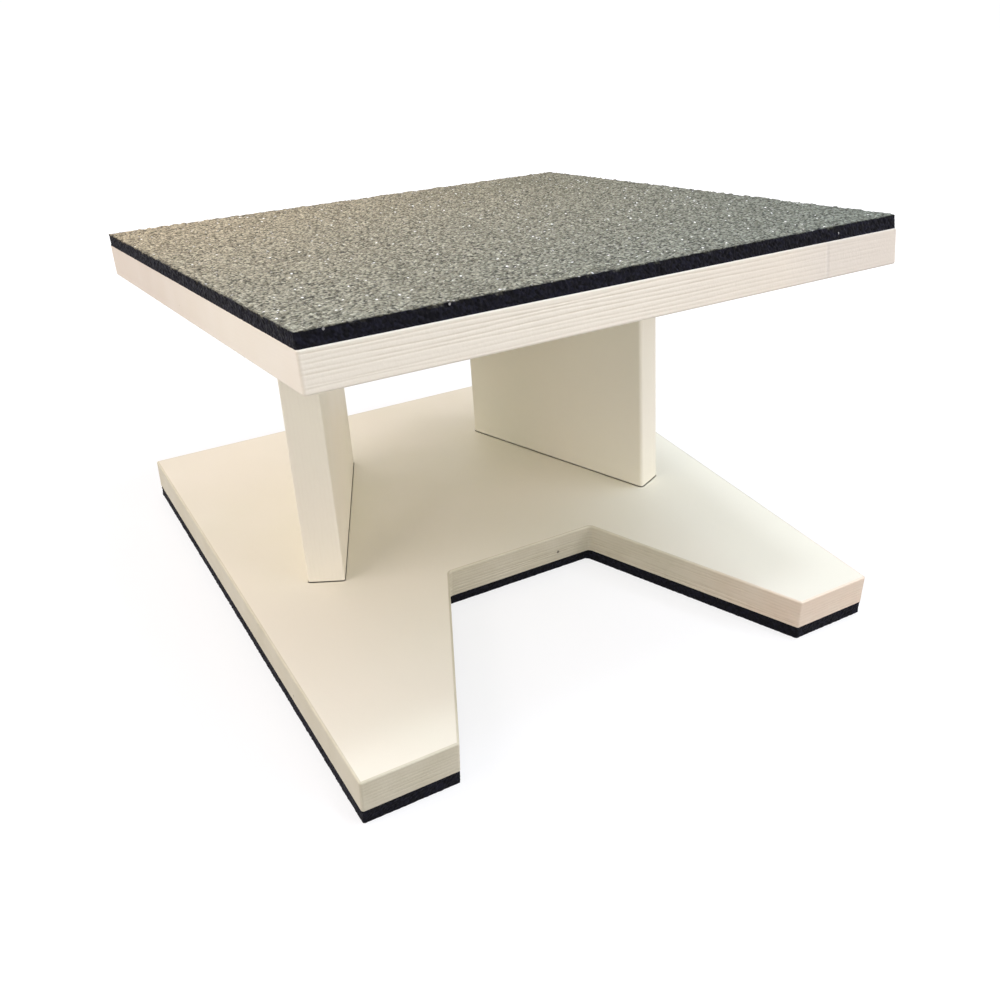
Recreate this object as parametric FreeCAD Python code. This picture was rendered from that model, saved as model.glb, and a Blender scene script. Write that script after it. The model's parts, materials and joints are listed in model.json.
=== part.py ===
import FreeCAD, Part
import math
import os

# Desk stand for a loudspeaker: a tilted top plate on splayed, leaning uprights, over a base with a cut-out.
# Millimetres. +X to the right, +Y to the back, +Z up. The origin is the middle of the base's underside.

# Plates: the base and the top are the same rectangle of painted board
plate_width = 280.0
plate_depth = 300.0
plate_thickness = 16.0
plate_corner_radius = 2.0
arris_width = 0.8

# Splay of the cut-out's sides and of the uprights, seen from above
splay = 25.0

# Rubber pads, cut to the outline of the plate that they are glued to
base_pad_thickness = 6.5
top_pad_thickness = 6.5

# Cut-out at the front of the base: a trapezoid that narrows towards the back and leaves two legs
leg_tip_width = 44.5
cutout_depth = 112.5
cutout_corner_radius = 3.0

# Uprights: boards on edge that draw together towards the back and lean back, set by their inner front corners
upright_thickness = 18.0
upright_length = 121.0
upright_lean = 6.25
upright_side_inset = 48.5
upright_setback = 131.5
upright_arris_radius = 1.2

# Top plate: its front edge is the higher one
top_tilt = 10.0
top_clear_height = 137.0

# Coach screws, two through each plate into each upright, with hexagon heads sunk in round seats
screw_length = 50.0
screw_head_width = 10.0
screw_head_height = 4.5
screw_shank_diameter = 6.0
screw_seat_diameter = 18.0
screw_end_distance = 38.0
screw_clearance = 0.1
screw_bore_room = 2.0

# Fluted wooden dowels, two between each plate and each upright
dowel_diameter = 8.0
dowel_length = 30.0
dowel_depth_in_plate = 10.0
dowel_flutes = 16
dowel_flute_depth = 0.35
dowel_end_taper = 1.0
dowel_end_distance = 15.0
dowel_clearance = 0.1
dowel_bore_room = 0.5

# Heights of the base's faces and of the top's underside at its middle, which the uprights' lean sets back
base_underside = base_pad_thickness
base_top = base_underside + plate_thickness
top_underside = base_top + top_clear_height
top_setback = top_clear_height * math.tan(math.radians(upright_lean))

# Faces of the plates that the uprights meet, each with its Z axis into the plate
X_AXIS = FreeCAD.Vector(1, 0, 0)
Z_AXIS = FreeCAD.Vector(0, 0, 1)
plate_faces = {
    "base": FreeCAD.Placement(FreeCAD.Vector(0, 0, base_top), FreeCAD.Rotation(X_AXIS, 180)),
    "top": FreeCAD.Placement(
        FreeCAD.Vector(0, top_setback, top_underside), FreeCAD.Rotation(X_AXIS, -top_tilt)
    ),
}

# Uprights, left and right, and the way that both of them lean
SIDES = {"left": -1, "right": 1}
lean_turn = FreeCAD.Rotation(X_AXIS, -upright_lean)
lean_way = lean_turn.multVec(Z_AXIS)


def upright_place(side):
    """Place of an upright's inner front corner at the base, turned by the splay and then leant back."""
    corner = FreeCAD.Vector(
        SIDES[side] * (plate_width / 2 - upright_side_inset), upright_setback - plate_depth / 2, base_top
    )
    return FreeCAD.Placement(corner, lean_turn.multiply(FreeCAD.Rotation(Z_AXIS, SIDES[side] * splay)))


def carried(point, face):
    """A point moved along the uprights' lean onto a plate's face."""
    normal = face.Rotation.multVec(Z_AXIS)
    return point + lean_way * ((face.Base - point).dot(normal) / lean_way.dot(normal))


def placed(shape, place):
    """A copy of a shape, moved from its own frame to its place."""
    moved = shape.copy()
    moved.Placement = place.multiply(shape.Placement)
    return moved


def rounded_outline(corners):
    """Closed face in the XY plane from (x, y, radius) corners, each rounded by a tangent arc."""
    count = len(corners)
    points = [FreeCAD.Vector(x, y, 0) for x, y, radius in corners]
    arcs = []
    for index, (x, y, radius) in enumerate(corners):
        corner = points[index]
        to_last = (points[index - 1] - corner).normalize()
        to_next = (points[(index + 1) % count] - corner).normalize()
        half_angle = to_last.getAngle(to_next) / 2
        middle = (to_last + to_next).normalize()
        reach = radius / math.tan(half_angle)
        inset = radius / math.sin(half_angle) - radius
        arcs.append((corner + to_last * reach, corner + middle * inset, corner + to_next * reach))
    edges = []
    for index, arc in enumerate(arcs):
        edges.append(Part.LineSegment(arcs[index - 1][2], arc[0]).toShape())
        edges.append(Part.Arc(*arc).toShape())
    return Part.Face(Part.Wire(edges))


def base_outline():
    """Outline of the base: the rectangle less the trapezoid at its front."""
    half_width = plate_width / 2
    half_depth = plate_depth / 2
    half_mouth = half_width - leg_tip_width
    half_inner = half_mouth - cutout_depth * math.tan(math.radians(splay))
    cutout_back = cutout_depth - half_depth
    right_half = [
        (half_inner, cutout_back, cutout_corner_radius),
        (half_mouth, -half_depth, plate_corner_radius),
        (half_width, -half_depth, plate_corner_radius),
        (half_width, half_depth, plate_corner_radius),
    ]
    left_half = [(-x, y, radius) for x, y, radius in reversed(right_half)]
    return rounded_outline(right_half + left_half)


def top_outline():
    """Outline of the top: the plain rectangle."""
    half_width = plate_width / 2
    half_depth = plate_depth / 2
    signs = ((1, -1), (1, 1), (-1, 1), (-1, -1))
    return rounded_outline([(x * half_width, y * half_depth, plate_corner_radius) for x, y in signs])


def slab(outline, bottom, thickness):
    """Outline raised into a flat sheet between two heights."""
    sheet = outline.extrude(Z_AXIS * thickness)
    sheet.translate(Z_AXIS * bottom)
    return sheet


def ease_rim(board, height):
    """Ease the arris all round one flat face of a board, at the given height."""
    tolerance = arris_width / 100
    rim = [
        edge for edge in board.Edges
        if abs(edge.BoundBox.ZMin - height) < tolerance and abs(edge.BoundBox.ZMax - height) < tolerance
    ]
    return board.makeChamfer(arris_width, rim)


def flat_face(points):
    """Face inside the closed line through points that lie in one plane."""
    return Part.Face(Part.makePolygon(points + points[:1]))


def revolved(profile):
    """Solid of revolution about Z from a closed list of (radius, height) points."""
    section = flat_face([FreeCAD.Vector(radius, 0, height) for radius, height in profile])
    return section.revolve(FreeCAD.Vector(), Z_AXIS, 360)


# Fasteners are drawn in the frame of their joint: the plate above its face at zero, the upright below it
shank_radius = screw_shank_diameter / 2
head_seat = plate_thickness - screw_head_height
screw_tip = plate_thickness - screw_length
dowel_depth_in_upright = dowel_length - dowel_depth_in_plate


def screw():
    """Screw with a hexagon head flush with the plate, a plain shank and a blunt end."""
    corner_radius = screw_head_width / math.sqrt(3)
    corners = [
        FreeCAD.Vector(corner_radius * math.cos(turn), corner_radius * math.sin(turn), head_seat)
        for turn in (math.pi * step / 3 for step in range(6))
    ]
    head = flat_face(corners).extrude(Z_AXIS * screw_head_height)
    shank = revolved([(0, head_seat), (shank_radius, head_seat), (shank_radius, screw_tip), (0, screw_tip)])
    return head.fuse(shank)


def screw_plate_bore():
    """Bore through the plate with a wider seat for the head."""
    return revolved([
        (0, plate_thickness),
        (screw_seat_diameter / 2, plate_thickness),
        (screw_seat_diameter / 2, head_seat),
        (shank_radius + screw_clearance, head_seat),
        (shank_radius + screw_clearance, 0),
        (0, 0),
    ])


def screw_upright_bore():
    """Blind bore for the shank in the upright's end."""
    radius = shank_radius + screw_clearance
    bottom = screw_tip - screw_bore_room
    return revolved([(0, 0), (radius, 0), (radius, bottom), (0, bottom)])


def dowel_section(height, scale):
    """Points round a dowel at one height, on ridges and in grooves in turn."""
    points = []
    for step in range(2 * dowel_flutes):
        turn = math.pi * step / dowel_flutes
        radius = (dowel_diameter / 2 - dowel_flute_depth * (step % 2)) * scale
        points.append(FreeCAD.Vector(radius * math.cos(turn), radius * math.sin(turn), height))
    return points


def dowel():
    """Fluted dowel with tapered ends, closed by flat faces between four sections."""
    top = dowel_depth_in_plate
    bottom = -dowel_depth_in_upright
    end_scale = 1 - 2 * dowel_end_taper / dowel_diameter
    sections = [
        dowel_section(bottom, end_scale),
        dowel_section(bottom + dowel_end_taper, 1),
        dowel_section(top - dowel_end_taper, 1),
        dowel_section(top, end_scale),
    ]
    faces = [flat_face(sections[0][::-1]), flat_face(sections[-1])]
    for low, high in zip(sections, sections[1:]):
        for step in range(2 * dowel_flutes):
            faces.append(flat_face([low[step - 1], low[step], high[step], high[step - 1]]))
    return Part.Solid(Part.Shell(faces))


def dowel_bore(depth):
    """Blind bore for one end of a dowel, upwards into the plate or downwards into the upright."""
    radius = dowel_diameter / 2 + dowel_clearance
    end = depth + math.copysign(dowel_bore_room, depth)
    return revolved([(0, 0), (radius, 0), (radius, end), (0, end)])


def upright_joints(side, end_distance):
    """Frames of a pair of fasteners at both ends of an upright, with the plate on the +Z side of each."""
    place = upright_place(side)
    frames = {}
    for name, along in (("front", end_distance), ("rear", upright_length - end_distance)):
        middle = place.multVec(FreeCAD.Vector(SIDES[side] * upright_thickness / 2, along, 0))
        for plate, face in plate_faces.items():
            frames[plate, name] = FreeCAD.Placement(carried(middle, face), face.Rotation)
    return frames


def upright(side):
    """Leaning board on edge with eased corners, sawn off along the two plates' faces."""
    blank_height = top_clear_height + plate_depth * math.tan(math.radians(top_tilt))
    spare = upright_length * math.tan(math.radians(upright_lean))
    low_corner = FreeCAD.Vector(min(0, SIDES[side] * upright_thickness), 0, -spare)
    board = Part.makeBox(upright_thickness, upright_length, blank_height, low_corner)
    corners = [edge for edge in board.Edges if edge.BoundBox.ZLength > blank_height / 2]
    board = placed(board.makeFillet(upright_arris_radius, corners), upright_place(side))
    saw_block = Part.makeBox(
        plate_width, 2 * plate_depth, blank_height, FreeCAD.Vector(-plate_width / 2, -plate_depth, 0)
    )
    for face in plate_faces.values():
        board = board.cut(placed(saw_block, face))
    return board


# Boards and pads
base_plate = ease_rim(slab(base_outline(), base_underside, plate_thickness), base_top)
base_pad = slab(base_outline(), 0, base_pad_thickness)
top_plate = placed(ease_rim(slab(top_outline(), 0, plate_thickness), 0), plate_faces["top"])
top_pad = placed(slab(top_outline(), plate_thickness, top_pad_thickness), plate_faces["top"])
plates = {"base": base_plate, "top": top_plate}
uprights = {side: upright(side) for side in SIDES}

# Fasteners, and their bores in the boards that they join
fasteners = {}
kinds = {
    "screw": (screw(), screw_plate_bore(), screw_upright_bore(), screw_end_distance),
    "dowel": (
        dowel(), dowel_bore(dowel_depth_in_plate), dowel_bore(-dowel_depth_in_upright), dowel_end_distance
    ),
}
for kind, (piece, plate_bore, upright_bore, end_distance) in kinds.items():
    for side in SIDES:
        for (plate, end), frame in upright_joints(side, end_distance).items():
            plates[plate] = plates[plate].cut(placed(plate_bore, frame))
            uprights[side] = uprights[side].cut(placed(upright_bore, frame))
            fasteners[f"{plate}_{kind}_{side}_{end}"] = placed(piece, frame)

# One file for each piece
pieces = {
    "base_plate": plates["base"],
    "base_pad": base_pad,
    "left_upright": uprights["left"],
    "right_upright": uprights["right"],
    "top_plate": plates["top"],
    "top_pad": top_pad,
    **fasteners,
}
os.makedirs("parts", exist_ok=True)
for name, shape in pieces.items():
    solid = shape.Solids[0]
    print(name, "valid", solid.isValid(), "solids", len(shape.Solids), "volume", round(solid.Volume, 1))
    solid.exportStep(f"parts/{name}.step")
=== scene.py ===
import functools
import json
import math

import bmesh
import bpy
import numpy as np
from bpy.props import FloatProperty, FloatVectorProperty, IntProperty, PointerProperty
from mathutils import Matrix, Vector
from mathutils.geometry import delaunay_2d_cdt


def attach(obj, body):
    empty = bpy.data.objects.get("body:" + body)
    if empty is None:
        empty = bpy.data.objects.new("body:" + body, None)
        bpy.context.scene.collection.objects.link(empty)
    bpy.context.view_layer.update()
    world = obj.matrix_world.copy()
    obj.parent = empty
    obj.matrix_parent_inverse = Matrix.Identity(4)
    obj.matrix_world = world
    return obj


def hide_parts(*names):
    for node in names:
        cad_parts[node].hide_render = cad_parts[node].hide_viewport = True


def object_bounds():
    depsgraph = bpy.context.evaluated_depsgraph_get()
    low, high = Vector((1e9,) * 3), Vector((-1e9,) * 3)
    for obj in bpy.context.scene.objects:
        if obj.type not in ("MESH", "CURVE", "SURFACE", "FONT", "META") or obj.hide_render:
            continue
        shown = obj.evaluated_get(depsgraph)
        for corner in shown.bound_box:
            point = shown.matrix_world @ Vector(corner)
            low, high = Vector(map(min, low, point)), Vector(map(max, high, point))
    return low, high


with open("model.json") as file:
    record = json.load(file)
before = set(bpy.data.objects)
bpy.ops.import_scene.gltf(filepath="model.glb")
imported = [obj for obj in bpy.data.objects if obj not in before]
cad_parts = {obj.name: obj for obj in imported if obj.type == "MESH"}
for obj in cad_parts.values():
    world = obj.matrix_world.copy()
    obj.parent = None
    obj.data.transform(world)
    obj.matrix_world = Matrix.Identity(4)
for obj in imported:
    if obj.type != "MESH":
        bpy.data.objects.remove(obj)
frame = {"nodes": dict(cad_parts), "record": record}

bl_info = {
    "name": "Loudspeaker Desk Stand",
    "version": (1, 0, 0),
    "blender": (4, 5, 0),
    "location": "3D View > Sidebar > Stand",
    "description": "Painted plywood boards, crumb-rubber mats and fasteners of a desk stand",
    "category": "Object",
}

CAD_BOX = [list(corner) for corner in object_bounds()]
BODY = "root"
SIDES = {"left": -1, "right": 1}
INSIDE_WITH_HOLES = 2

# Soft lamps: bearing from the front towards the right and height in degrees, distance and side in metres
LAMPS = {
    "front": (-20, 12, 1.5, 1.2),
    "front_right": (45, 12, 1.5, 1.2),
    "upper_right": (45, 60, 1.5, 1.2),
    "overhead": (60, 78, 1.5, 0.2),
    "right": (90, 60, 1.0, 0.3),
    "left": (-90, 30, 1.5, 1.2),
    "back_left": (-135, 40, 1.5, 1.2),
    "back": (180, 50, 1.5, 1.2),
}
COOL_LAMPS = ("upper_right", "overhead", "right")

# Share of the ply lines' depth on each run of a plate's outline, counter-clockwise
PLY_SHARES = {"base": (2.0, 1.4, 0.3, 0.8, 0.3, 1.2, 2.0, 1.7), "top": (0.12, 0.9, 0.12, 1.0)}

# Share of the dark seam line, dirt and painted shade in the gap, at an upright's front, right, back and left
SEAM_DIRT_AND_SHADE = {"left": (0.4, 1.0, 0.6, 0.6), "right": (0.55, 0.5, 0.6, 0.75)}

# Starts of the random draws
PLY_DRAWS = {"base": 12, "top": 7, "left": 299, "right": 301}
SWELL_DRAW = 100
RIPPLE_DRAW = 200
CRUMB_DRAWS = {"top": 11, "base": 12, "chips": 13}

# Spacing, in metres, and rows of the meshes
PLATE_STEP = 0.002
UPRIGHT_EDGE_STEP = 0.00025
UPRIGHT_FACE_STEP = 0.004
UPRIGHT_ROWS = 47
MAT_ROWS = 8
BORE_SIDES = 32
ARC_STEPS = 6

# Length of an upright over which its ply lines wander
UPRIGHT_RUN = 0.2

# Where shades of the paint and of the mats start and end, in metres: painted light at the right tip, painted
# shade on the top's edges and on the top mat, the filled joint in the top's edge, and the floor
TIP_FADE = (0.02, 0.085)
ASIDE_SLOPE = 1.6
ASIDE_FADE = (-0.228, -0.008)
EDGE_END_FADE = (-0.025, 0.0)
EDGE_JOINT_FADE = (0.0003, 0.0013)
MAT_LEFT_TO_RIGHT = (-0.14, 0.14)
MAT_BACK_TO_FRONT = (0.166, -0.129)
FLOOR_FADE = (0.2, 0.8)
FLOOR_DROP = 0.0003

# Range in which cloudy noise mostly lies
NOISE_LOW, NOISE_HIGH = 0.3, 0.7


# Kinds of settings

def scalar(name, description, default, **kind):
    """One number."""
    return FloatProperty(name=name, description=description, default=default, **kind)


def metres(name, description, default):
    """A length."""
    return scalar(name, description, default, unit="LENGTH")


def portion(name, description, default):
    """A share from 0 to 1."""
    return scalar(name, description, default, min=0, max=1, subtype="FACTOR")


def vector(name, description, default, **kind):
    """Several numbers."""
    return FloatVectorProperty(name=name, description=description, default=default, size=len(default), **kind)


def position(name, description, default):
    """A place in the shared frame."""
    return vector(name, description, default, subtype="XYZ", unit="LENGTH")


def swatch(name, description, default):
    """A colour."""
    return vector(name, description, default, subtype="COLOR", min=0, max=1)


# Settings that a user would change, in metres and radians

class BoardSettings(bpy.types.PropertyGroup):
    """Shape and paint of the plywood boards."""

    splay: scalar("Splay", "Angle of cut-out and uprights, from above", math.radians(25.0), subtype="ANGLE")
    lean: scalar("Lean", "How far the uprights lean back", math.radians(6.25), subtype="ANGLE")
    leg_tip_width: metres("Leg Tip Width", "Width of a leg at its front end", 0.0445)
    cutout_depth: metres("Cut-out Depth", "Reach of the cut-out from the front", 0.1125)
    corner_radius: metres("Corner Radius", "Rounding of the plates' corners", 0.0013)
    cutout_corner_radius: metres("Cut-out Corner Radius", "Rounding of the cut-out's inner corners", 0.003)
    arris_radius: metres("Arris Radius", "Rounding of the plates' sanded edges", 0.0009)
    mat_arris_radius: metres("Arris Radius at Mat", "Rounding of a plate's edge beside its mat", 0.0006)
    shoulder: metres("Shoulder", "Width of the edge paint's end on a face", 0.0003)
    rim_rows: IntProperty(name="Rim Rows", description="Mesh rows across a plate's edge", default=66, min=20)
    upright_corner_radius: vector(
        "Upright Corner Radius", "Rounding of the left and right upright", (0.001, 0.0019), unit="LENGTH",
    )
    foot_arris: metres("Foot Arris", "Sanded edge at an upright's ends", 0.0005)
    plies: IntProperty(name="Plies", description="Layers in the plywood", default=9, min=3)
    groove_depth: metres("Groove Depth", "Depth of the ply lines where deepest", 0.0002)
    groove_width: metres("Groove Width", "Half width of a ply line", 0.00034)
    groove_drift: metres("Groove Drift", "How far a ply line wanders", 0.0004)
    groove_fade: portion("Groove Fade", "Loss of the ply lines away from the mat", 0.6)
    groove_taper: vector("Groove Taper", "Ply lines of the top at left, middle and right", (1.08, 1.15, 0.2))
    seam_width: metres("Seam Width", "Dark line on the plate beside an upright", 0.0003)
    upright_groove_share: portion("Upright Grooves", "Share of the ply lines on the uprights' edges", 0.2)
    pit_spacing: metres("Pit Spacing", "Room between small pits", 0.022)
    pit_radius: metres("Pit Radius", "Radius of a small pit", 0.0005)
    # The pin hole is a dark spot in the colour: painted shade of a hole that the mesh does not have
    pin_hole: position("Pin Hole", "Pin hole in the back of the cut-out", (0.0226, -0.0375, 0.0121))
    paint: swatch("Paint", "Cream-white satin paint", (0.845, 0.805, 0.67))
    paint_cool: swatch("Paint in Patches", "Cooler patches of the same paint", (0.825, 0.805, 0.665))
    top_edge_paint: swatch("Top Edge Paint", "Thicker paint on the top's edges", (0.83, 0.785, 0.65))
    # Painted shade on the top's edges at the right and the back
    top_edge_painted_shade: swatch("Top Edge Aside", "Duller edges at the right and the back", (0.68, 0.605, 0.49))
    edge_joint: metres("Edge Joint", "Filled joint in the top's edge, right of the middle", 0.0976)
    edge_joint_tint: swatch("Edge Joint Tint", "Darker paint over the filled joint", (0.95, 0.95, 0.96))
    edge_end_tint: swatch("Edge End Tint", "Duller top edge past the filled joint", (0.95, 0.96, 0.985))
    # Darker, tanner base edges: paint sunk into the end grain, and painted shade on these low faces
    base_edge_paint_and_shade: swatch("Base Edge Paint", "Tanner paint on the base's edges", (0.605, 0.57, 0.42))
    # Darker ply lines: paint pooled in them and painted shade in the grooves
    groove_paint_and_shade: swatch("Paint in Grooves", "Darker paint in the ply lines", (0.84, 0.81, 0.77))
    # Painted light: the base's edges lighter and pinker near the right leg's tip
    tip_painted_light: swatch("Paint at Right Tip", "Pinker edges at the right leg's tip", (0.83, 0.69, 0.53))
    tip: position("Right Tip", "Middle of the right leg's tip", (0.118, -0.15, 0.0145))
    # Dark seam line at an upright's foot: dirt and painted shade in the gap
    joint_dirt_and_shade: swatch("Joint Dirt", "Dark line at an upright's foot", (0.095, 0.075, 0.048))
    roughness: portion("Roughness", "Roughness of the satin paint", 0.46)


class MatSettings(bpy.types.PropertyGroup):
    """Grain and colours of the crumb-rubber mats."""

    granule: metres("Granule", "Size of a granule in the relief", 0.0018)
    grain: metres("Grain", "Size of the finer grain in the colour", 0.0013)
    relief: metres("Relief", "Depth of the gaps on the top", 0.0008)
    side_relief: metres("Side Relief", "Depth of the gaps on the cut sides", 0.0007)
    top_step: metres("Top Step", "Spacing of the top mat's mesh", 0.001)
    rim_step: metres("Rim Step", "Spacing of the base mat's mesh", 0.001)
    chip: metres("Chip", "Size of the chips along the top's border", 0.0035)
    chip_depth: metres("Chip Depth", "How far the chips are broken down", 0.0004)
    # Where the top's dust and painted sheen end, inside and past the rim
    dust_and_sheen_rim: vector(
        "Rim Wear", "Where the dusty top ends, inside and past the rim", (-0.0016, 0.0008), unit="LENGTH",
    )
    inset: metres("Inset", "How far the top mat stays behind the front edge", 0.0005)
    setback: metres("Setback", "How far the base mat stays behind the cut-out", 0.002)
    # The top's greys: dust and painted sheen over the black rubber
    granule_mid: swatch("Granules", "Usual colour of the top's granules", (0.515, 0.437, 0.281))
    granule_dark: swatch("Dark Granules", "Darkest granules of the top", (0.28, 0.229, 0.143))
    granule_light: swatch("Light Granules", "Lightest granules of the top", (0.75, 0.637, 0.428))
    # Painted shade: the top's granules darker towards the right and the front
    right_painted_shade: swatch("Right Tint", "Darker granules towards the right", (0.573, 0.643, 0.696))
    front_painted_shade: swatch("Front Tint", "Darker granules towards the front", (0.71, 0.83, 0.965))
    # Painted glints: a few granules painted bright
    painted_glint: swatch("Sparkles", "Few bright granules", (0.95, 0.95, 0.90))
    cut_rubber: swatch("Cut Rubber", "Fresh rubber on the cut sides", (0.0025, 0.0025, 0.004))
    cut_light: swatch("Light Cut Rubber", "Lightest granules of the cut sides", (0.0085, 0.0088, 0.0155))


class FastenerSettings(bpy.types.PropertyGroup):
    """Bores and finishes of the screws and dowels that hold the boards."""

    screw_bore: metres("Screw Bore", "Diameter of the bore round a screw's shank", 0.0062)
    screw_seat: metres("Screw Seat", "Diameter of the seat round a screw's head", 0.018)
    screw_seat_depth: metres("Screw Seat Depth", "Depth of the seat in the plate", 0.0045)
    dowel_bore: metres("Dowel Bore", "Diameter of a dowel's bore", 0.0082)
    bore_room: metres("Bore Room", "Room past the end of a fastener", 0.0005)
    zinc: swatch("Zinc", "Zinc plating of the screws", (0.60, 0.60, 0.57))
    zinc_dull: swatch("Dull Zinc", "Duller patches of the plating", (0.42, 0.43, 0.42))
    beech: swatch("Beech", "Wood of the dowels", (0.60, 0.40, 0.22))
    beech_ray: swatch("Beech Flecks", "Darker flecks in the dowels' wood", (0.40, 0.23, 0.11))


class StageSettings(bpy.types.PropertyGroup):
    """Camera, lights and floor."""

    camera_place: position("Camera Place", "Where the camera stands", (-0.24724, -0.460455, 0.352148))
    camera_turn: vector(
        "Camera Turn", "How the camera is turned",
        tuple(math.radians(turn) for turn in (59.4953, -1.6987, -32.7834)), subtype="EULER",
    )
    lens: scalar("Lens", "Focal length in millimetres", 40.06)
    shift: vector("Shift", "Offset of the picture", (-0.0805, -0.0181))
    lamp_watts: vector("Lamp Watts", "Power of each lamp", (7.7, 13.2, 10.8, 4.0, 2.4, 13.2, 7.0, 8.6))
    neutral_lamp: swatch("Neutral Lamp", "Colour of the lamp at the front", (1.0, 0.96, 0.99))
    warm_lamp: swatch("Warm Lamps", "Colour of the lamps at the sides and back", (1.0, 0.90, 0.89))
    cool_lamp: swatch("Cool Lamps", "Colour of the three upper lamps", (0.76, 0.84, 1.0))
    floor_size: metres("Floor Size", "Side of the floor", 8.0)
    floor_colour: swatch("Floor Colour", "Colour of the plain floor", (0.25, 0.25, 0.25))
    floor_lift: vector("Floor Lift", "How much the floor is paled, near and far", (0.77, 1.0))


# Places and packed shapes

class Place:
    """A frame with its own origin and unit axes, in which a piece is drawn square."""

    def __init__(self, origin, axes):
        self.origin = np.array(origin, float)
        self.axes = np.array(axes, float)

    def to_row(self, points):
        """Own coordinates to the shared frame."""
        return self.origin + points @ self.axes

    def to_own(self, points):
        """Shared frame to own coordinates."""
        return (points - self.origin) @ self.axes.T

    def span(self, node):
        """Lowest and highest own coordinates of a packed node."""
        vertices = frame["nodes"][node].data.vertices
        points = np.empty(len(vertices) * 3, np.float32)
        vertices.foreach_get("co", points)
        own = self.to_own(points.reshape(-1, 3).astype(float))
        return own.min(axis=0), own.max(axis=0)


def deck_place():
    """Place of the tilted top: its origin is the middle of the deck and its Z axis stands square on it."""
    deck = next(mount for mount in frame["record"]["mounts"] if mount["name"] == "speaker_deck")
    sine, cosine = deck["axis"][1:]
    return Place(deck["pos_m"], [(1, 0, 0), (0, cosine, -sine), (0, sine, cosine)])


def upright_place(side, boards):
    """Place turned by the splay, then leant back: X through an upright's thickness and Z along its lean."""
    sine, cosine = SIDES[side] * math.sin(boards.splay), math.cos(boards.splay)
    back, up = math.sin(boards.lean), math.cos(boards.lean)
    across = (cosine, sine * up, -sine * back)
    along = (-sine, cosine * up, -cosine * back)
    return Place((0, 0, 0), [across, along, (0, back, up)])


BASE = Place((0, 0, 0), np.eye(3))
DECK = deck_place()
PLATE_PLACES = {"base": BASE, "top": DECK}


# Mesh parts

class Shell:
    """Vertices, faces and named values of one piece, gathered patch by patch."""

    def __init__(self):
        self.points = np.empty((0, 3))
        self.values = {}
        self.smooth_faces = []
        self.flat_faces = []

    def add(self, points, **values):
        """Add a grid of points, with a value of each name for each point, and give the grid's numbers."""
        flat = points.reshape(-1, 3)
        first = len(self.points)
        for name in set(self.values) | set(values):
            before = self.values.get(name, np.zeros(first))
            own = np.broadcast_to(values.get(name, 0.0), points.shape[:-1]).reshape(-1)
            self.values[name] = np.concatenate([before, own])
        self.points = np.concatenate([self.points, flat])
        return np.arange(first, first + len(flat)).reshape(points.shape[:-1])

    def skin(self, grid, closed):
        """Smooth four-sided faces over a grid of numbers, closed into a ring along its rows if asked."""
        if closed:
            grid = np.column_stack([grid, grid[:, :1]])
        corners = (grid[:-1, :-1], grid[:-1, 1:], grid[1:, 1:], grid[1:, :-1])
        self.smooth_faces += np.stack(corners, axis=-1).reshape(-1, 4).tolist()

    def fill(self, rim, holes, place):
        """Flat face inside a ring of numbers and outside its holes, cut into triangles in the place's XY."""
        rings = [rim, *holes]
        numbers = np.concatenate(rings)
        flat = place.to_own(self.points[numbers])[:, :2]
        order = np.arange(len(numbers))
        parts = np.split(order, np.cumsum([len(ring) for ring in rings])[:-1])
        edges = np.column_stack([order, np.concatenate([np.roll(part, -1) for part in parts])])
        faces, sources = delaunay_2d_cdt(flat.tolist(), edges.tolist(), [], INSIDE_WITH_HOLES, 1e-9)[2:4]
        sources = np.array([source[0] for source in sources])
        self.flat_faces += numbers[sources[np.array(faces)]].tolist()

    def piece(self, name, material, slot, *nodes):
        """Make the mesh object with faces turned outwards, and let it stand for its packed nodes."""
        mesh = bpy.data.meshes.new(name)
        mesh.from_pydata(self.points, [], self.smooth_faces + self.flat_faces)
        sharp = np.repeat([False, True], [len(self.smooth_faces), len(self.flat_faces)])
        mesh.attributes.new("sharp_face", "BOOLEAN", "FACE").data.foreach_set("value", sharp)
        for label, values in self.values.items():
            mesh.attributes.new(label, "FLOAT", "POINT").data.foreach_set("value", values.astype(np.float32))
        work = bmesh.new()
        work.from_mesh(mesh)
        bmesh.ops.recalc_face_normals(work, faces=work.faces)
        work.to_mesh(mesh)
        work.free()
        mesh.materials.append(material)
        piece = bpy.data.objects.new(name, mesh)
        bpy.context.scene.collection.objects.link(piece)
        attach(piece, BODY)
        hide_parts(*nodes)
        return piece


def raised(plan, heights):
    """Points of a plane with a height each, as points in space."""
    return np.concatenate([plan, np.broadcast_to(heights, plan.shape[:-1])[..., None]], axis=-1)


def turned(direction, angles):
    """A plane direction turned by each of several angles."""
    x, y = direction
    cosine, sine = np.cos(angles), np.sin(angles)
    return np.column_stack([x * cosine - y * sine, x * sine + y * cosine])


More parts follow.
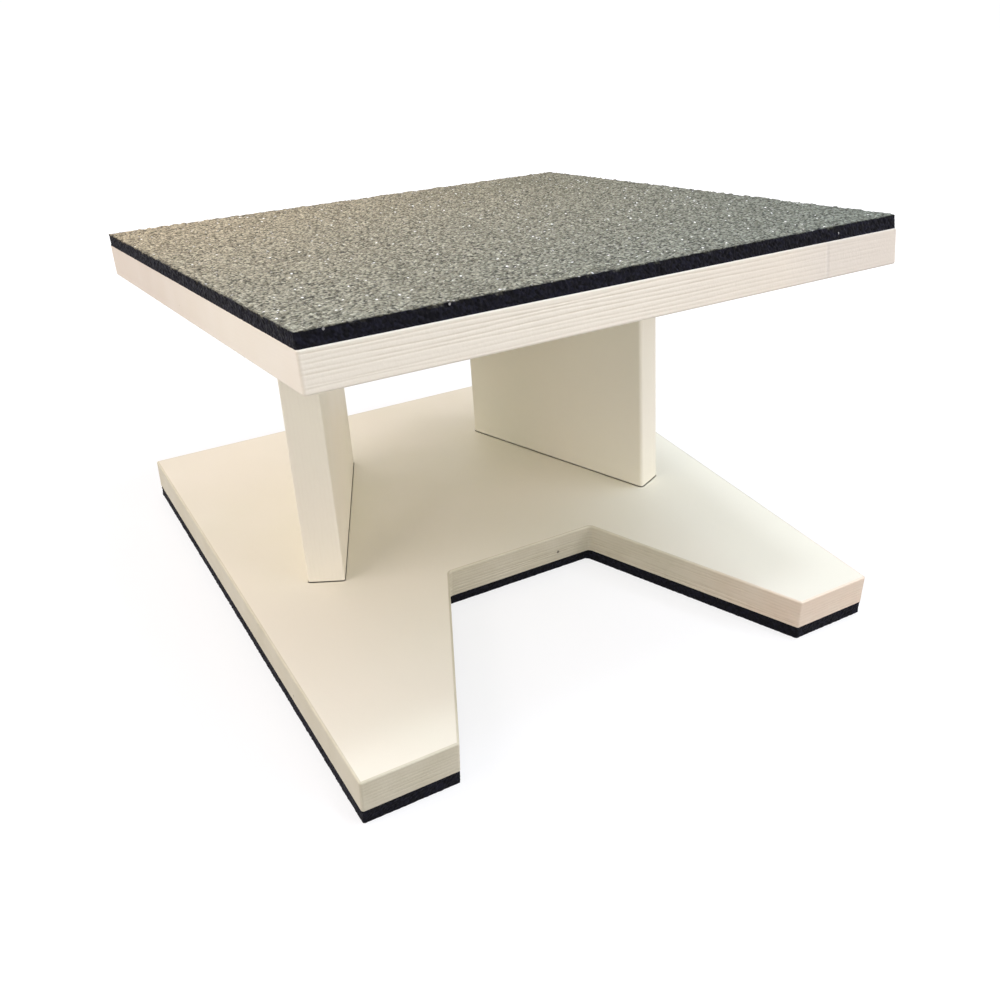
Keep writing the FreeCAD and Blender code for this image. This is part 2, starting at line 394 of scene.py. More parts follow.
class Outline:
    """Closed path round (x, y, radius) corners, given counter-clockwise.

    A corner's arc turns about a centre one radius to the side of the run before it. The run after it is cut
    into equal steps. Each point has its outward normal, its distance along the path and the number of its
    run, which changes evenly round an arc.
    """

    def __init__(self, corners, steps):
        corners = np.array(corners, float)
        spots, radii = corners[:, :2], corners[:, 2]
        after = np.roll(spots, -1, axis=0) - spots
        after /= np.linalg.norm(after, axis=1, keepdims=True)
        before = np.roll(after, 1, axis=0)
        turns = np.arctan2(
            before[:, 0] * after[:, 1] - before[:, 1] * after[:, 0], np.sum(before * after, axis=1)
        )
        reach = (radii * np.tan(np.abs(turns) / 2))[:, None]
        starts, ends = spots - before * reach, spots + after * reach
        points, headings, runs = [], [], []
        shares = np.linspace(0, 1, ARC_STEPS + 1)
        for index, turn in enumerate(turns):
            inward = np.sign(turn) * radii[index] * np.array([-before[index, 1], before[index, 0]])
            points.append(starts[index] + inward - turned(inward, turn * shares))
            headings.append(turned(before[index], turn * shares))
            runs.append(index - 1 + shares)
            run = starts[(index + 1) % len(turns)] - ends[index]
            count = math.ceil(np.linalg.norm(run) / steps[index])
            inner = np.linspace(0, 1, count + 1)[1:-1, None]
            points.append(ends[index] + inner * run)
            headings.append(np.broadcast_to(after[index], (count - 1, 2)))
            runs.append(np.full(count - 1, float(index)))
        self.points = np.concatenate(points)
        headings = np.concatenate(headings)
        self.normals = np.column_stack([headings[:, 1], -headings[:, 0]])
        self.runs = np.concatenate(runs) % len(corners)
        lengths = np.linalg.norm(np.roll(self.points, -1, axis=0) - self.points, axis=1)
        self.length = lengths.sum()
        self.along = np.cumsum(lengths) - lengths

    def share(self, shares):
        """A value for each run, blended round the arcs."""
        return np.interp(self.runs, np.arange(len(shares) + 1), [*shares, shares[0]])

    def drawn_in(self, insets, heights):
        """Rows of the path's points, drawn in along their normals and raised."""
        return raised(self.points - self.normals * insets[..., None], heights)


def wander(along, length, cycles, seed):
    """Smooth drift along a closed length, from about -1 to 1: five sine waves of whole cycles."""
    random = np.random.default_rng(seed)
    counts = np.maximum(1, np.round(cycles * random.uniform(0.3, 1.7, 5)))
    phases = random.uniform(0, 2 * np.pi, 5)
    return np.sin(2 * np.pi * counts * along[..., None] / length + phases).sum(axis=-1) / math.sqrt(5) / 1.2


def ply_relief(across, along, length, thickness, boards, seed):
    """Depth of the ply lines from 0 to 1: a bell curve on each glue line, wandering in place and depth."""
    relief = np.zeros(np.broadcast(across, along).shape)
    for line in range(1, boards.plies):
        middle = thickness * line / boards.plies + boards.groove_drift * wander(along, length, 9, seed + line)
        swell = wander(along, length, 5, seed + SWELL_DRAW + line)
        swell = swell + 0.4 * wander(along, length, 50, seed + RIPPLE_DRAW + line)
        depth = np.clip(0.55 + 0.3 * swell, 0.1, 1)
        relief = np.maximum(relief, depth * np.exp(-((across - middle) / boards.groove_width) ** 2))
    return relief


def bore(shell, spot, profile, place, blind):
    """Wall of a bore: a (radius, height) profile carried round a circle. Gives the rings at its two ends."""
    turns = np.linspace(0, 2 * np.pi, BORE_SIDES, endpoint=False)
    radii, heights = np.array(profile).T
    circle = np.column_stack([np.cos(turns), np.sin(turns)])
    numbers = shell.add(place.to_row(raised(spot + radii[:, None, None] * circle, heights[:, None])))
    shell.skin(numbers, closed=True)
    if blind:
        shell.flat_faces.append(numbers[-1].tolist())
    return numbers[0], numbers[-1]


def fastener_bores(plate, fasteners):
    """Bores of a plate's screws and dowels: spot, profiles in plate and upright, side, and whether a screw.

    The seat of a screw's head opens on the face away from the uprights.
    """
    place = PLATE_PLACES[plate]
    faces = [corner[2] for corner in place.span(f"{plate}_plate")]
    outer, joint = faces[::-1] if plate == "top" else faces
    inward = math.copysign(1, joint - outer)
    bores = []
    for node in sorted(frame["nodes"]):
        if not node.startswith((f"{plate}_screw", f"{plate}_dowel")):
            continue
        low, high = place.span(node)
        plate_end, upright_end = (low[2], high[2]) if inward > 0 else (high[2], low[2])
        is_screw = "_screw_" in node
        radius = (fasteners.screw_bore if is_screw else fasteners.dowel_bore) / 2
        seat = outer + inward * fasteners.screw_seat_depth
        in_plate = [(radius, joint), (radius, plate_end - inward * fasteners.bore_room)]
        if is_screw:
            wide = fasteners.screw_seat / 2
            in_plate = [(radius, joint), (radius, seat), (wide, seat), (wide, outer)]
        in_upright = [(radius, joint), (radius, upright_end + inward * fasteners.bore_room)]
        side = next(side for side in SIDES if f"_{side}_" in node)
        bores.append(((low + high)[:2] / 2, in_plate, in_upright, side, is_screw))
    return bores


# Materials

class Shader:
    """Short way to write the nodes of a material or of the world."""

    def __init__(self, owner):
        owner.use_nodes = True
        self.owner = owner
        self.nodes = owner.node_tree.nodes

    @functools.cached_property
    def place(self):
        """Object coordinates."""
        return self.add("TexCoord").outputs["Object"]

    def put(self, socket, value):
        """Link an output to a socket, or set the socket's own value."""
        if isinstance(value, bpy.types.NodeSocket):
            self.owner.node_tree.links.new(value, socket)
        else:
            socket.default_value = value

    def add(self, kind, inputs=(), **settings):
        """Add a node with its settings and inputs, given as pairs of a name or number and a value."""
        node = self.nodes.new("ShaderNode" + kind)
        for name, value in settings.items():
            setattr(node, name, value)
        for name, value in inputs:
            self.put(node.inputs[name], value)
        return node

    def value(self, name):
        """A named value that the mesh carries."""
        return self.add("Attribute", attribute_name=name).outputs["Fac"]

    def stretched(self, scale):
        """Object coordinates scaled differently along each axis."""
        return self.add("Mapping", [("Vector", self.place), ("Scale", scale)]).outputs["Vector"]

    def noise(self, scale, detail=2.0, place=None):
        """Cloudy noise, with the scale in waves to the metre."""
        inputs = [("Vector", place or self.place), ("Scale", scale), ("Detail", detail)]
        return self.add("TexNoise", inputs).outputs["Fac"]

    def clouds(self, scale, detail, to_low, to_high):
        """Cloudy noise spread over a range of values."""
        return self.range(self.noise(scale, detail), NOISE_LOW, NOISE_HIGH, to_low, to_high)

    def cells(self, size):
        """Cells of about a size: the distance from a cell's middle, in cells, and a random number each."""
        cells = self.add("TexVoronoi", [("Vector", self.place), ("Scale", 1 / size)])
        split = self.add("SeparateColor", [("Color", cells.outputs["Color"])])
        return cells.outputs["Distance"], split.outputs["Red"]

    def distance(self, spot):
        """Distance from a spot."""
        inputs = [(0, self.place), (1, spot)]
        return self.add("VectorMath", inputs, operation="DISTANCE").outputs["Value"]

    def range(self, value, low, high, to_low=0.0, to_high=1.0):
        """Map a range of a value to another range, and hold it there."""
        ends = {"From Min": low, "From Max": high, "To Min": to_low, "To Max": to_high}
        return self.add("MapRange", [("Value", value), *ends.items()]).outputs["Result"]

    def math(self, operation, first, second):
        """Arithmetic on two values."""
        return self.add("Math", [(0, first), (1, second)], operation=operation).outputs["Value"]

    def times(self, first, second):
        """Product of two values."""
        return self.math("MULTIPLY", first, second)

    def axes(self):
        """Object coordinates to the right, to the back and up."""
        return self.add("SeparateXYZ", [("Vector", self.place)]).outputs[:3]

    def mix(self, factor, first, second, blend="MIX"):
        """Mix two colours."""
        inputs = [(0, factor), (6, colour(first)), (7, colour(second))]
        return self.add("Mix", inputs, data_type="RGBA", blend_type=blend).outputs[2]

    def bump(self, height, distance, strength=1.0, below=None):
        """Surface relief from a height, over the relief below it."""
        inputs = [("Height", height), ("Distance", distance), ("Strength", strength)]
        inputs += [("Normal", below)] if below else []
        return self.add("Bump", inputs).outputs["Normal"]

    def seen_directly(self):
        """1 for rays from the eye, and for those that a mirror or glass passes on."""
        paths = self.add("LightPath").outputs
        passed_on = self.math("MAXIMUM", paths["Is Glossy Ray"], paths["Is Transmission Ray"])
        return self.math("MAXIMUM", paths["Is Camera Ray"], passed_on)

    def finish(self, **inputs):
        """Set the surface's inputs, named with underscores for spaces, and give the material."""
        sockets = self.nodes["Principled BSDF"].inputs
        for name, value in inputs.items():
            self.put(sockets[name.replace("_", " ").title().replace("Ior", "IOR")], value)
        return self.owner


def colour(value):
    """A colour of three numbers with its alpha, or an output as it is."""
    return value if isinstance(value, bpy.types.NodeSocket) else (*value, 1.0)


def top_edge_paint_and_shade(shader, boards):
    """Paint of the top's edges, with painted shade to the back and the right, and the hairline over the
    filled joint.
    """
    east, north = shader.axes()[:2]
    # Painted shade: the edges darker towards the back and the right
    shade_aside = shader.range(shader.math("ADD", east, shader.times(north, ASIDE_SLOPE)), *ASIDE_FADE)
    paint = shader.mix(shade_aside, boards.top_edge_paint, boards.top_edge_painted_shade)
    past_joint = shader.math("SUBTRACT", east, boards.edge_joint)
    paint = shader.mix(shader.range(past_joint, *EDGE_END_FADE), paint, boards.edge_end_tint, "MULTIPLY")
    hairline = shader.range(shader.math("ABSOLUTE", past_joint, 0.0), *EDGE_JOINT_FADE, 1.0, 0.0)
    return shader.mix(hairline, paint, boards.edge_joint_tint, "MULTIPLY"), hairline


def paint_material(boards):
    """Satin paint: soft patches, paint sunk into ply lines and end grain with painted shade there, painted
    shade on the top's edges to the back and right, painted light at the right tip, roller stipple, small
    pits, a pin hole as painted shade, and dark joints of dirt and painted shade.
    """
    shader = Shader(bpy.data.materials.new("cream_satin_paint"))
    patches = shader.range(shader.noise(11, 3), 0.35, 0.65)
    paint = shader.mix(patches, boards.paint, boards.paint_cool)
    top_edge = shader.value("top_edge")
    edge_paint_and_shade, hairline = top_edge_paint_and_shade(shader, boards)
    paint = shader.mix(top_edge, paint, edge_paint_and_shade)
    # Base edges in patches: paint sunk into the end grain, and painted shade
    base_edge_mask = shader.times(shader.value("base_edge"), shader.clouds(60, 3, 0.75, 1.0))
    # Painted light near the right tip: its edges lighter and pinker
    near_tip = shader.range(shader.distance(boards.tip), *TIP_FADE, 1.0, 0.0)
    paint = shader.mix(base_edge_mask, paint, shader.mix(near_tip, boards.base_edge_paint_and_shade, boards.tip_painted_light))
    # Ply lines darkened: paint pooled in them and painted shade in the grooves
    sunk = shader.times(shader.value("groove"), shader.clouds(220, 2, 0.3, 1.0))
    paint = shader.mix(sunk, paint, boards.groove_paint_and_shade, "MULTIPLY")
    pit_reach = boards.pit_radius / boards.pit_spacing
    pits = shader.range(shader.cells(boards.pit_spacing)[0], pit_reach * 0.6, pit_reach * 1.3, 0.7, 0.0)
    pits = shader.times(pits, shader.value("edge"))
    # Pin hole: a dark spot painted where the hole's shade falls, with a slight bump
    pin = shader.range(shader.distance(boards.pin_hole), boards.pit_radius, boards.pit_radius * 2, 0.9, 0.0)
    # Dark seam line at the uprights' feet: dirt and painted shade in the gap
    joint = shader.times(shader.value("dirt"), shader.clouds(160, 2, 0.6, 1.0))
    dirt = shader.math("MAXIMUM", joint, shader.math("MAXIMUM", pits, pin))
    paint = shader.mix(dirt, paint, boards.joint_dirt_and_shade)
    relief = shader.bump(shader.noise(900, 3), 0.00005)
    relief = shader.bump(shader.noise(90, 2), 0.00010, below=relief)
    for hollow, depth in ((dirt, 0.0003), (shader.times(hairline, top_edge), 0.00006)):
        relief = shader.bump(shader.math("SUBTRACT", 1.0, hollow), depth, below=relief)
    roughness = shader.clouds(45, 3, boards.roughness - 0.06, boards.roughness + 0.08)
    return shader.finish(base_color=paint, roughness=roughness, normal=relief)


def painted(boards):
    """The boards' paint, made once."""
    return bpy.data.materials.get("cream_satin_paint") or paint_material(boards)


def rubber_material(mats):
    """Rubber crumb: grain of several greys on the top, partly dust and partly painted sheen, with painted
    shade towards the right and the front, dark gaps with painted shade, painted glints, and black cut sides.
    """
    shader = Shader(bpy.data.materials.new("rubber_crumb"))
    gap, tone = shader.cells(mats.grain)
    top = shader.mix(shader.range(tone, 0.0, 0.45), mats.granule_dark, mats.granule_mid)
    top = shader.mix(shader.range(tone, 0.55, 1.0), top, mats.granule_light)
    east, north, height = shader.axes()
    # Painted shade towards the right and the front of the top
    cloud = shader.range(shader.noise(9, 2), 0, 1, -0.08, 0.08)
    to_right = shader.range(shader.math("ADD", east, cloud), *MAT_LEFT_TO_RIGHT)
    to_front = shader.range(shader.math("ADD", north, cloud), *MAT_BACK_TO_FRONT)
    top = shader.mix(to_right, top, mats.right_painted_shade, "MULTIPLY")
    top = shader.mix(to_front, top, mats.front_painted_shade, "MULTIPLY")
    # Gaps between granules, in the colour's cells and in the relief, darkened to black: the rubber's own
    # black under the dusty top, and painted shade in the crevices
    top = shader.mix(shader.range(gap, 0.45, 0.80, 0.0, 0.75), top, mats.cut_rubber)
    top = shader.mix(shader.range(shader.value("bulge"), 0.0, 0.3, 0.4, 0.0), top, mats.cut_rubber)
    # Painted glints on a few granules of the top, and rarer ones on the sides
    middle, chance = shader.cells(mats.grain * 1.2)
    glint = shader.times(shader.range(chance, 0.965, 0.975), shader.range(middle, 0.30, 0.42, 1.0, 0.0))
    top = shader.mix(glint, top, mats.painted_glint)
    rare_glint = shader.times(glint, shader.range(chance, 0.990, 0.995, 0.0, 0.4))
    rare_glint = shader.times(rare_glint, shader.range(height, 0.05, 0.1))
    cut = shader.mix(shader.range(tone, 0.3, 1.0), mats.cut_rubber, mats.cut_light)
    cut = shader.mix(rare_glint, cut, mats.painted_glint)
    # Dust and painted sheen on the top, the rubber's own black on the cut sides
    crumb = shader.mix(shader.value("cut"), top, cut)
    relief = shader.bump(shader.noise(1400, 2), 0.0002)
    relief = shader.bump(shader.range(gap, 0.0, 0.8, 1.0, 0.0), 0.0004, 0.7, below=relief)
    roughness = shader.clouds(700, 2, 0.6, 0.9)
    return shader.finish(base_color=crumb, roughness=roughness, normal=relief, specular_ior_level=0.1)


def zinc_material(fasteners):
    """Zinc plating: bright and dull patches with fine turning marks."""
    shader = Shader(bpy.data.materials.new("zinc_plating"))
    spangle = shader.cells(0.0016)[0]
    tint = shader.mix(shader.range(spangle, 0.2, 0.8, 0.0, 0.5), fasteners.zinc, fasteners.zinc_dull)
    marks = shader.noise(400, 2, shader.stretched((0.2, 0.2, 6.0)))
    roughness = shader.clouds(300, 2, 0.28, 0.45)
    relief = shader.bump(marks, 0.00004)
    return shader.finish(base_color=tint, metallic=1.0, roughness=roughness, normal=relief)


def beech_material(fasteners):
    """Bare beech: fine grain along the dowels with short darker flecks."""
    shader = Shader(bpy.data.materials.new("bare_beech"))
    grain = shader.noise(900, 4, shader.stretched((1.0, 1.0, 0.06)))
    flecks = shader.range(shader.noise(1600, 2, shader.stretched((1.0, 1.0, 0.2))), 0.58, 0.72, 0.0, 0.8)
    wood = shader.mix(shader.range(grain, 0.3, 0.7, 0.0, 0.35), fasteners.beech, fasteners.beech_ray)
    wood = shader.mix(flecks, wood, fasteners.beech_ray)
    return shader.finish(base_color=wood, roughness=0.62, normal=shader.bump(grain, 0.00008))


# Pieces

def rectangle(low, high, third):
    """Corners of a rectangle, counter-clockwise from the front left one, with the same third number."""
    spots = ((low[0], low[1]), (high[0], low[1]), (high[0], high[1]), (low[0], high[1]))
    return [(x, y, third) for x, y in spots]


def base_corners(low, high, boards, setback=0.0):
    """Corners of the base: its rectangle less the trapezoid at the front, counter-clockwise from the cut-out.

    The setback moves the back of the cut-out further back.
    """
    half_mouth = high[0] - boards.leg_tip_width
    half_inner = half_mouth - boards.cutout_depth * math.tan(boards.splay)
    right = [
        (half_inner, low[1] + boards.cutout_depth + setback, boards.cutout_corner_radius),
        (half_mouth, low[1], boards.corner_radius),
        (high[0], low[1], boards.corner_radius),
        (high[0], high[1], boards.corner_radius),
    ]
    return right + [(-x, y, radius) for x, y, radius in reversed(right)]


def top_corners(low, high, boards):
    """Corners of the top's plain rectangle, counter-clockwise from the front right one."""
    front_left, *others = rectangle(low, high, boards.corner_radius)
    return [*others, front_left]


def rim_profile(thickness, boards):
    """Heights and insets across a plate's edge, from its mat: an arc, a straight run and a larger arc.

    A point of an arc of radius r at angle a lies r(1 - cos a) inside the edge and r sin a past the run. A
    narrow shoulder on each flat face follows, where the share of edge paint falls to 0.
    """
    turns = np.linspace(0, np.pi / 2, ARC_STEPS + 1)[1:]
    small, large = boards.mat_arris_radius, boards.arris_radius
    rise = np.concatenate([
        [0.0],
        small * (1 - np.sin(turns[::-1])),
        np.linspace(small, thickness - large, boards.rim_rows),
        thickness - large * (1 - np.sin(turns)),
        [thickness],
    ])
    inset = np.concatenate([
        [small + boards.shoulder],
        small * (1 - np.cos(turns[::-1])),
        np.zeros(boards.rim_rows),
        large * (1 - np.cos(turns)),
        [large + boards.shoulder],
    ])
    edge = np.ones(len(rise))
    edge[[0, -1]] = 0.0
    return rise, inset, edge


def plate_piece(plate, boards, fasteners, material):
    """Plate of plywood: a grooved profile with two rounded arrises carried round the outline, and two faces.

    The inset of a rim point is the profile's own inset plus the depth of the ply lines there.
    """
    place = PLATE_PLACES[plate]
    low, high = place.span(f"{plate}_plate")
    corners = top_corners(low, high, boards) if plate == "top" else base_corners(low, high, boards)
    path = Outline(corners, [PLATE_STEP] * len(corners))
    thickness = high[2] - low[2]
    rise, eased, edge = rim_profile(thickness, boards)
    relief = ply_relief(rise[:, None], path.along, path.length, thickness, boards, PLY_DRAWS[plate])
    fade = edge * (1 - boards.groove_fade * rise / thickness)
    relief = relief * path.share(PLY_SHARES[plate]) * fade[:, None]
    if plate == "top":
        relief *= np.interp(path.points[:, 0], (low[0], 0, high[0]), boards.groove_taper)
    heights = high[2] - rise if plate == "top" else low[2] + rise
    shell = Shell()
    rim = shell.add(
        place.to_row(path.drawn_in(eased[:, None] + boards.groove_depth * relief, heights[:, None])),
        **{"groove": relief, "edge": edge[:, None], f"{plate}_edge": edge[:, None]},
    )
    shell.skin(rim, closed=True)
    outer_holes, joint_holes = [], {side: [] for side in SIDES}
    for spot, in_plate, in_upright, side, is_screw in fastener_bores(plate, fasteners):
        near, far = bore(shell, spot, in_plate, place, blind=not is_screw)
        joint_holes[side].append(near)
        outer_holes += [far] if is_screw else []
    seams = {side: seam_band(shell, plate, side, boards) for side in SIDES}
    shell.fill(rim[0], outer_holes, place)
    shell.fill(rim[-1], [outer for outer, inner in seams.values()], place)
    for side, (outer, inner) in seams.items():
        shell.fill(inner, joint_holes[side], place)
    return shell.piece(f"{plate}_board", material, "painted_board", f"{plate}_plate")


def upright_outline(side, boards):
    """Place of an upright, its section's outline there and the share of dirt and painted shade that each
    point's seam holds.
    """
    place = upright_place(side, boards)
    low, high = place.span(f"{side}_upright")
    radius = boards.upright_corner_radius[list(SIDES).index(side)]
    path = Outline(rectangle(low, high, radius), [UPRIGHT_EDGE_STEP, UPRIGHT_FACE_STEP] * 2)
    return place, path, path.share(SEAM_DIRT_AND_SHADE[side])


def reach_to(plate, points, way):
    """How far points are, along an upright's way, from the face of a plate that the upright joins."""
    place = PLATE_PLACES[plate]
    low, high = place.span(f"{plate}_plate")
    level = low[2] if plate == "top" else high[2]
    return (level - (points - place.origin) @ place.axes[2]) / (way @ place.axes[2])


def seam_band(shell, plate, side, boards):
    """Dark line on a plate's face round an upright: a band from outside its outline to under its arris.

    Three rings of the outline are carried along the lean to the face. Gives the outer and the inner one.
    """
    # The band carries the dark seam line: dirt and painted shade in the gap round the foot
    place, path, dirt = upright_outline(side, boards)
    insets = np.array([-boards.seam_width, -0.6 * boards.seam_width, boards.foot_arris])
    plan = place.to_row(path.drawn_in(np.repeat(insets[:, None], len(dirt), axis=1), 0.0))
    way = place.axes[2]
    rings = shell.add(
        plan + way * reach_to(plate, plan, way)[..., None], dirt=np.array([0.0, 1.0, 1.0])[:, None] * dirt
    )
    shell.skin(rings, closed=True)
    return rings[0], rings[-1]


def upright_piece(side, boards, fasteners, material):
    """Upright: a rounded rectangle carried along the lean from the base to the underside of the top.

    Each row of the wall is a share of the way between the two planes, and both ends are drawn in by an arris.
    """
    place, path, seam_dirt_and_shade = upright_outline(side, boards)
    left, right = path.points[:, 0].min(), path.points[:, 0].max()
    rise = np.array([0.0, 0.35, 0.7, 1.0]) * boards.foot_arris
    drawn = np.array([1.0, 0.7, 0.3, 0.0]) * boards.foot_arris
    shares = np.linspace(0, 1, UPRIGHT_ROWS + 2)[1:-1]
    inset = np.concatenate([drawn, np.zeros(len(shares)), drawn[::-1]])
    edge = path.share((1.0, 0.0, 1.0, 0.0))
    along = np.linspace(0, UPRIGHT_RUN, len(inset))[:, None]
    relief = ply_relief(path.points[:, 0] - left, along, UPRIGHT_RUN, right - left, boards, PLY_DRAWS[side])
    relief = relief * edge * boards.upright_groove_share
    plan = place.to_row(path.drawn_in(inset[:, None] + boards.groove_depth * relief, 0.0))
    way = place.axes[2]
    foot, head = reach_to("base", plan, way), reach_to("top", plan, way)
    middle = slice(len(drawn), len(drawn) + len(shares))
    reach = head[middle] - foot[middle] - 2 * boards.foot_arris
    heights = np.concatenate([
        foot[:len(drawn)] + rise[:, None],
        foot[middle] + boards.foot_arris + shares[:, None] * reach,
        head[-len(drawn):] - rise[::-1, None],
    ])
    # The two lowest rows hold the dark seam line: dirt and painted shade in the gap at the foot
    dirt = np.zeros(heights.shape)
    dirt[:2] = np.array([1.0, 0.6])[:, None] * seam_dirt_and_shade
    shell = Shell()
    wall = shell.add(plan + way * heights[..., None], groove=relief, dirt=dirt, edge=edge)
    shell.skin(wall, closed=True)
    for (plate, plane), ring in zip(PLATE_PLACES.items(), (wall[0], wall[-1])):
        holes = [
            bore(shell, spot, in_upright, plane, blind=True)[0]
            for spot, in_plate, in_upright, owner, is_screw in fastener_bores(plate, fasteners)
            if owner == side
        ]
        shell.fill(ring, holes, plane)
    return shell.piece(f"{side}_upright_board", material, "painted_board", f"{side}_upright")


def crumb(points, size, seed):
    """Packed granules: one centre in each cube of the given size, moved at random within it.

    Gives how far each point is from the gap between its two nearest granules, as a share of the size, and a
    random tone for each granule.
    """
    random = np.random.default_rng(seed)
    cells = np.floor(points / size).astype(int)
    first = cells.min(axis=0) - 1
    cells -= first
    room = cells.max(axis=0) + 2
    centres = random.random((*room, 3))
    tones = random.random(room)
    nearest = np.full(len(points), np.inf)
    second = nearest.copy()
    tone = np.zeros(len(points))
    for offset in np.ndindex(3, 3, 3):
        cell = cells + np.array(offset) - 1
        index = tuple(cell.T)
        distance = np.linalg.norm(points - (cell + first + centres[index]) * size, axis=1)
        closer = distance < nearest
        second = np.where(closer, nearest, np.minimum(second, distance))
        tone = np.where(closer, tones[index], tone)
        nearest = np.where(closer, distance, nearest)
    return np.clip((second - nearest) / size, 0, 1), tone


def granular(points, normals, depth, mats, seed):
    """Points sunk along their normals into the gaps between granules, and to each granule's own level.

    The gap takes up to 0.62 of the depth, falling to 0 at 0.45 of a granule, and the level takes the rest.
    """
    bulge, tone = crumb(points.reshape(-1, 3), mats.granule, seed)
    sunk = depth.reshape(-1) * (0.62 * (1 - np.minimum(bulge / 0.45, 1)) ** 1.5 + 0.38 * tone)
    shape = points.shape[:-1]
    return points - normals * sunk.reshape(*shape, 1), bulge.reshape(shape)


def rounded_grid(low, high, step, radius):
    """Level grid over a rectangle, the numbers of its border's points and each point's steps from the border.

    A point in a corner, past the centre of the corner's arc, is drawn in to one radius from that centre.
    """
    counts = np.ceil((high - low) / step).astype(int) + 1
    middle = (low + high) / 2
    flat = np.stack(np.meshgrid(*map(np.linspace, low, high, counts)), axis=-1) - middle
    past = np.maximum(np.abs(flat) - ((high - low) / 2 - radius), 0)
    reach = np.maximum(np.linalg.norm(past, axis=-1, keepdims=True), radius)
    flat -= np.sign(flat) * past * (1 - radius / reach)
    row, column = np.indices(flat.shape[:2])
    steps_in = np.minimum.reduce([row, column, counts[1] - 1 - row, counts[0] - 1 - column])
    numbers = np.arange(steps_in.size).reshape(steps_in.shape)
    border = np.concatenate([numbers[0, :-1], numbers[:-1, -1], numbers[-1, :0:-1], numbers[:0:-1, 0]])
    return flat + middle, border, steps_in


def top_mat_piece(mats, boards, material):
    """Top mat: a level grid of granules, walls down its border and a flat underside.

    The walls stand square to the grid, and only the crumb breaks them.
    """
    low, high = DECK.span("top_pad")
    low[1] += mats.inset
    plan, border, steps_in = rounded_grid(low[:2], high[:2], mats.top_step, boards.corner_radius)
    top = raised(plan, high[2])
    top_normals = np.zeros(top.shape)
    top_normals[..., 2] = 1.0
    ring = plan.reshape(-1, 2)[border]
    tangent = np.roll(ring, -1, axis=0) - np.roll(ring, 1, axis=0)
    outward = np.column_stack([tangent[:, 1], -tangent[:, 0], np.zeros(len(ring))])
    outward /= np.linalg.norm(outward, axis=1, keepdims=True)
    top_normals.reshape(-1, 3)[border] += outward
    drops = np.linspace(0, 1, MAT_ROWS)[1:] * (high[2] - low[2])
    wall = raised(np.broadcast_to(ring, (len(drops), *ring.shape)), (high[2] - drops)[:, None])
    wall_normals = np.broadcast_to(outward, wall.shape)
    side_depth = np.full(wall.shape[:2], mats.side_relief)
    side_depth[-1] *= 0.3
    depth = np.where(steps_in == 0, 0.5, 1.0) * mats.relief
    surface = np.concatenate([top.reshape(-1, 3), wall.reshape(-1, 3)])
    chips = crumb(surface, mats.chip, CRUMB_DRAWS["chips"])[1]
    # Where the top's dust and painted sheen give way to the black cut rubber, broken by chips
    past_rim = np.concatenate([-mats.top_step * steps_in.reshape(-1), np.repeat(drops, len(ring))])
    cut = np.clip(0.5 + (past_rim - np.interp(chips, (0, 1), mats.dust_and_sheen_rim)) / mats.top_step, 0, 1)
    top_cut, wall_cut = np.split(cut, [steps_in.size])
    top_cut = top_cut.reshape(steps_in.shape)
    shell = Shell()
    top, bulge = granular(top, top_normals, depth, mats, CRUMB_DRAWS["top"])
    top[..., 2] -= mats.chip_depth * top_cut
    grid = shell.add(DECK.to_row(top), bulge=bulge, cut=top_cut)
    wall, bulge = granular(wall, wall_normals, side_depth, mats, CRUMB_DRAWS["top"])
    rows = shell.add(DECK.to_row(wall), bulge=bulge, cut=wall_cut.reshape(side_depth.shape))
    shell.skin(grid, closed=False)
    shell.skin(np.vstack([grid.reshape(-1)[border], rows]), closed=True)
    shell.flat_faces.append(rows[-1].tolist())
    piece = shell.piece("top_mat", material, "crumb_rubber", "top_pad")
    return piece


def base_mat_piece(mats, boards, material):
    """Base mat: a wall of crumb carried round the base's outline, and two flat faces."""
    low, high = BASE.span("base_pad")
    corners = base_corners(low, high, boards, mats.setback)
    path = Outline(corners, [mats.rim_step] * len(corners))
    heights = np.linspace(low[2], high[2], MAT_ROWS)
    wall = path.drawn_in(np.zeros((MAT_ROWS, len(path.points))), heights[:, None])
    normals = np.broadcast_to(raised(path.normals, 0.0), wall.shape)
    depth = np.full(wall.shape[:2], mats.side_relief)
    depth[0] *= 0.5
    depth[-1] *= 0.3
    wall, bulge = granular(wall, normals, depth, mats, CRUMB_DRAWS["base"])
    shell = Shell()
    rows = shell.add(wall, bulge=bulge, cut=1.0)
    shell.skin(rows, closed=True)
    shell.fill(rows[0], [], BASE)
    shell.fill(rows[-1], [], BASE)
    piece = shell.piece("base_mat", material, "crumb_rubber", "base_pad")
    return piece


# Operators

class STAND_OT_plates(bpy.types.Operator):
    """Make the base and the top of painted plywood"""

    bl_idname = "stand.plates"
    bl_label = "Plates"

    def execute(self, context):
        boards, fasteners = context.scene.stand_boards, context.scene.stand_fasteners
        for plate in PLATE_PLACES:
            plate_piece(plate, boards, fasteners, painted(boards))
        return {"FINISHED"}


class STAND_OT_uprights(bpy.types.Operator):
    """Make the two splayed uprights"""

    bl_idname = "stand.uprights"
    bl_label = "Uprights"

    def execute(self, context):
        boards, fasteners = context.scene.stand_boards, context.scene.stand_fasteners
        for side in SIDES:
            upright_piece(side, boards, fasteners, painted(boards))
        return {"FINISHED"}


class STAND_OT_mats(bpy.types.Operator):
    """Make the crumb-rubber mats on the top and under the base"""

    bl_idname = "stand.mats"
    bl_label = "Mats"

    def execute(self, context):
        mats, boards = context.scene.stand_mats, context.scene.stand_boards
        material = rubber_material(mats)
        top_mat_piece(mats, boards, material)
        base_mat_piece(mats, boards, material)
        return {"FINISHED"}


